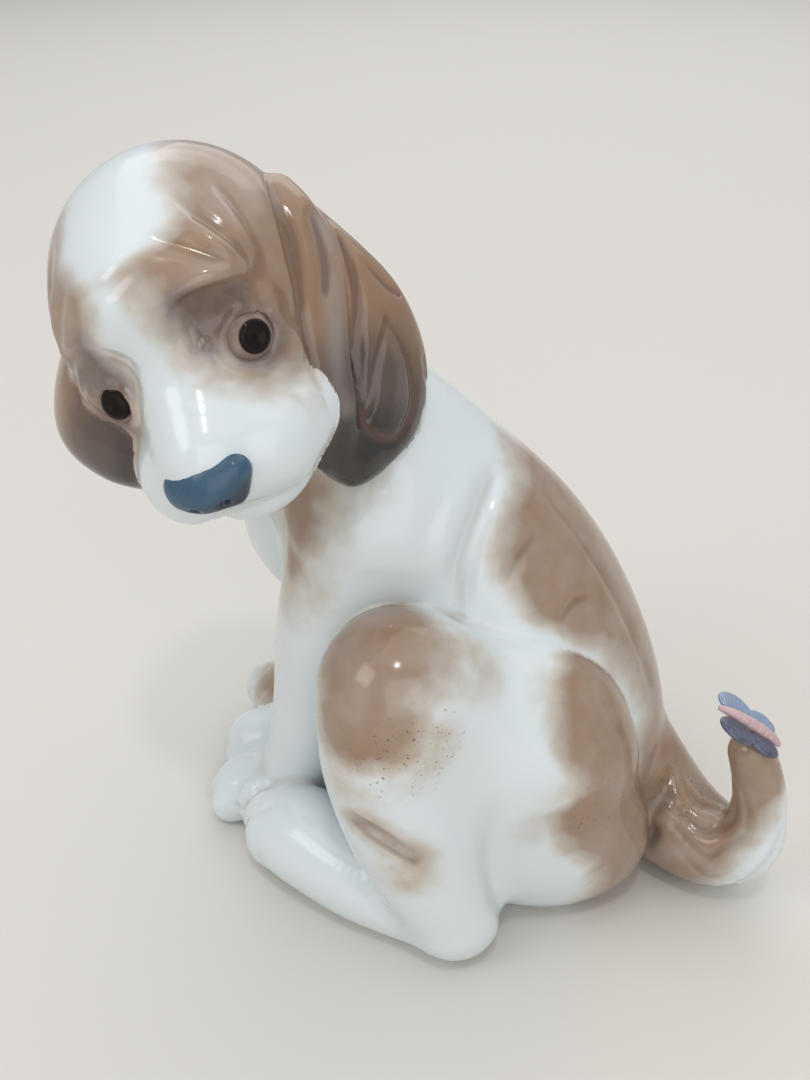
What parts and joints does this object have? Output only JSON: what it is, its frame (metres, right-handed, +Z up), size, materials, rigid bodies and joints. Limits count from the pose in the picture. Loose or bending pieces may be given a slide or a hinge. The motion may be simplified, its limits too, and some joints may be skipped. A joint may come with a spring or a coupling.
{
  "type": "ceramic dog figurine",
  "caption": "Sitting glazed porcelain puppy with its head turned to its left, hanging ears and a butterfly on the tip of its curled tail; free-standing ornament.",
  "frame": {"origin": "point on the flat base, under the middle of the torso, on the surface that the figurine stands on", "axes": "+Z up; -X the way the chest faces; -Y the puppy's left side, to which its head is turned"},
  "size_m": [0.1324, 0.1017, 0.1436],
  "materials": {
    "white_glaze": "glossy clear glaze over white porcelain with soft taupe brown patches",
    "ear_glaze": "glossy clear glaze over taupe brown underglaze, darker at the tips",
    "tail_glaze": "glossy clear glaze over brown underglaze fading to white",
    "eye_glaze": "very glossy black pupil on a taupe ball",
    "nose_glaze": "satin slate blue",
    "butterfly_body_glaze": "glossy pale pink",
    "wing_glaze": "glossy slate blue"
  },
  "bodies": {
    "root": {"torso": "white_glaze", "head": "white_glaze", "ear_left": "ear_glaze", "ear_right": "ear_glaze", "eye_left": "eye_glaze", "eye_right": "eye_glaze", "nose": "nose_glaze", "foreleg_left": "white_glaze", "foreleg_right": "white_glaze", "hind_leg_left": "white_glaze", "hind_leg_right": "white_glaze", "tail": "tail_glaze", "butterfly_body": "butterfly_body_glaze", "forewing_left": "wing_glaze", "forewing_right": "wing_glaze", "hindwing_left": "wing_glaze", "hindwing_right": "wing_glaze"}
  },
  "joints": []
}
